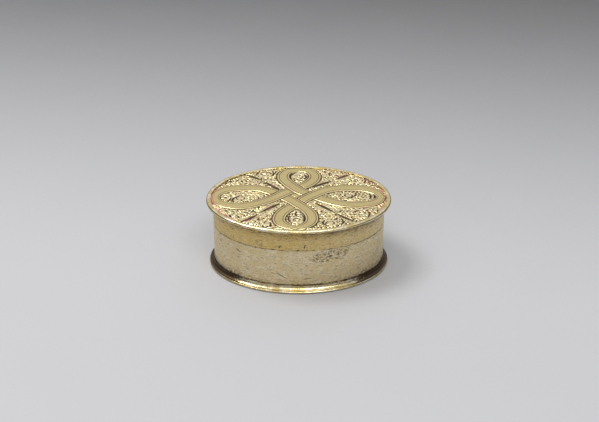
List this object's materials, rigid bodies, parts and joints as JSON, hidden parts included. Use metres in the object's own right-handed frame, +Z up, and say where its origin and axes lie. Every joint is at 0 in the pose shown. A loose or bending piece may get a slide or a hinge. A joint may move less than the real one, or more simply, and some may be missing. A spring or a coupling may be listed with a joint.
{
  "type": "lidded box",
  "caption": "Oval metal box with a lift-off lid, moulded rim and foot, and a carved interlaced strap knot among leaf scrolls on the lid.",
  "frame": {"origin": "middle of the flat underside, which stands on the table", "axes": "+Z up, +X along the oval's long axis, -Y towards the front of the picture"},
  "size_m": [0.092, 0.069, 0.036],
  "materials": {
    "carved_gilt": "matt gilding, darkened in the cuts",
    "rim_gilt": "rubbed bright",
    "skirt_gilt": "satin with fine scratches",
    "worn_brass": "satin, worn and tarnished",
    "foot_gilt": "polished",
    "inner_gilt": "satin"
  },
  "bodies": {
    "box_body": {"body_wall": "worn_brass", "bezel": "inner_gilt", "base_plate": "inner_gilt", "foot_moulding": "foot_gilt", "foot_wire": "rim_gilt"},
    "lid": {"lid_plate": "carved_gilt", "lid_rim_wire": "rim_gilt", "lid_skirt": "skirt_gilt"}
  },
  "joints": [
    {"name": "lid_lift", "type": "slide", "parent": "box_body", "child": "lid", "axis": [0, 0, 1], "range_m": [0, 0.04]}
  ]
}
